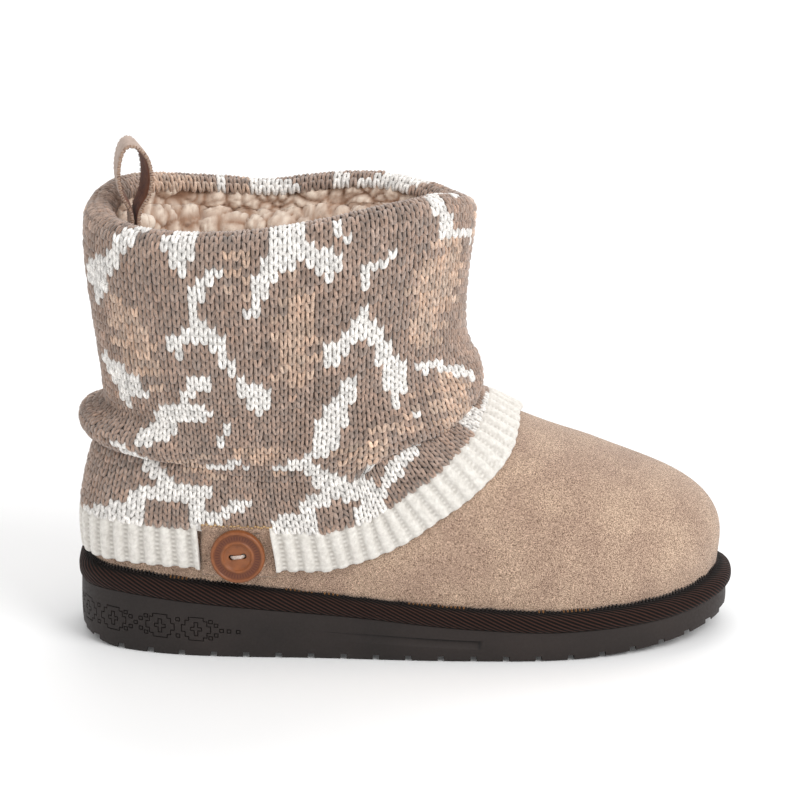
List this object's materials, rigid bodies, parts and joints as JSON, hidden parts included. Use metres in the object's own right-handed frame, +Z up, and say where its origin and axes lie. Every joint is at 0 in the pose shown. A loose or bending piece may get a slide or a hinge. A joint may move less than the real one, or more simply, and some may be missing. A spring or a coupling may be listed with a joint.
{
  "type": "knit ankle boot",
  "caption": "Slip-on ankle boot: suede foot with fleece lining, slouched jacquard knit sleeve with a ribbed hem, wrapped midsole, rubber outsole, pull loop at the heel and a button tab.",
  "frame": {"origin": "on the floor under the middle of the boot's bounding box, standing on its sole", "axes": "+X towards the toe, +Y towards the inner (medial) side of this right boot, +Z up"},
  "size_m": [0.28, 0.1078, 0.214],
  "materials": {
    "outsole_rubber": "matt moulded rubber, dark grey-brown",
    "midsole_twill": "dark brown twill weave",
    "fleece": "curly sherpa fleece",
    "suede": "napped tan suede",
    "knit": "heathered stockinette and rib knit, white, taupe and tan",
    "loop_strap": "woven strap, tan outside and brown inside",
    "button_resin": "satin wood-toned resin"
  },
  "bodies": {
    "root": {"outsole": "outsole_rubber", "midsole_wrap": "midsole_twill", "insole": "fleece", "upper": "suede", "knit_sleeve": "knit", "pull_loop": "loop_strap", "button_tab": "suede", "button": "button_resin"}
  },
  "joints": []
}
